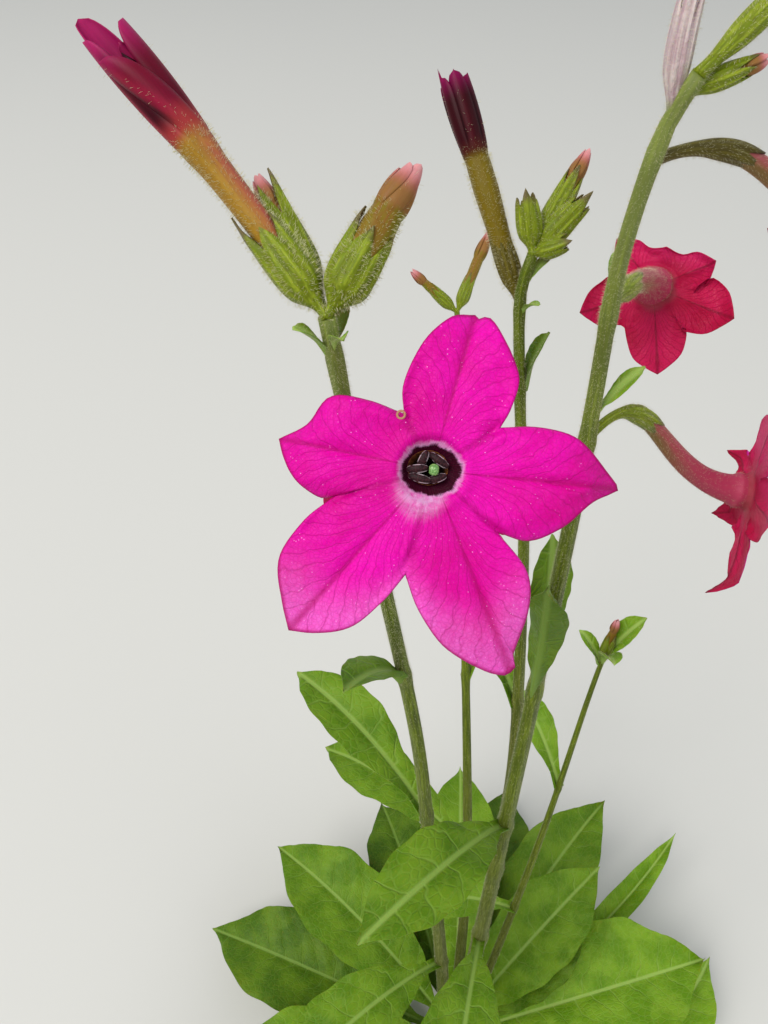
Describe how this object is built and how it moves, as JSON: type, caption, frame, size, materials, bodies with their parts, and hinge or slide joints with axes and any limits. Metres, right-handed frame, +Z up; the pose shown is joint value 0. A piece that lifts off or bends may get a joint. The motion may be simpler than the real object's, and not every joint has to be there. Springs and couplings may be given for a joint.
{
  "type": "flowering tobacco plant",
  "caption": "Rooted flowering tobacco clump: a low rosette of broad leaves, tall slender stems with small leaves, long-tubed star-shaped magenta flowers and hairy buds.",
  "frame": {"origin": "middle of the flat cut under the root crown, at ground level", "axes": "+Z straight up; +Y to the back of the clump, away from the viewer's side with the large front flower; +X to the viewer's right"},
  "size_m": [0.4201, 0.4604, 0.758],
  "materials": {
    "crown": "matt, ridged, brownish green",
    "stem": "satin green with fine pale hairs",
    "leaf": "soft green with paler veins",
    "calyx": "hairy yellow-green, purple at the tips",
    "petal": "velvety magenta with fine darker veins and a dark throat",
    "bud": "hairy, crimson head on a yellowish tube",
    "withered": "papery, pale pinkish grey"
  },
  "bodies": {
    "root": {"root_crown": "crown", "stem_right": "stem", "stem_left": "stem", "stem_middle": "stem", "stem_back": "stem", "stem_shoot": "stem", "leaf_rosette_01": "leaf", "leaf_rosette_02": "leaf", "leaf_rosette_03": "leaf", "leaf_rosette_04": "leaf", "leaf_rosette_05": "leaf", "leaf_rosette_06": "leaf", "leaf_rosette_07": "leaf", "leaf_rosette_08": "leaf", "leaf_rosette_09": "leaf", "leaf_rosette_10": "leaf", "leaf_rosette_11": "leaf", "leaf_rosette_12": "leaf", "leaf_rosette_13": "leaf", "leaf_rosette_14": "leaf", "leaf_rosette_15": "leaf", "leaf_rosette_16": "leaf", "leaf_left_1": "leaf", "leaf_left_2": "leaf", "leaf_left_3": "leaf", "leaf_right_1": "leaf", "leaf_right_2": "leaf", "leaf_right_3": "leaf", "leaf_right_4": "leaf", "leaf_middle_1": "leaf", "leaf_middle_2": "leaf", "leaf_back_1": "leaf", "leaf_back_2": "leaf", "leaf_shoot_1": "leaf", "leaf_shoot_2": "leaf", "calyx_front": "calyx", "corolla_front": "petal", "calyx_right_high": "calyx", "corolla_right_high": "petal", "calyx_right_back": "calyx", "corolla_right_back": "petal", "calyx_right_low": "calyx", "corolla_right_low": "petal", "calyx_back_left": "calyx", "corolla_back_left": "petal", "calyx_back_right": "calyx", "corolla_back_right": "petal", "bud_opening": "bud", "bud_pink_left": "calyx", "bud_pink_right": "calyx", "bud_dark": "bud", "bud_high": "calyx", "bud_green_high": "calyx", "bud_back_left": "calyx", "bud_back_right": "calyx", "withered_flower": "withered", "bud_cluster": "calyx", "shoot_tip": "leaf"}
  },
  "joints": []
}
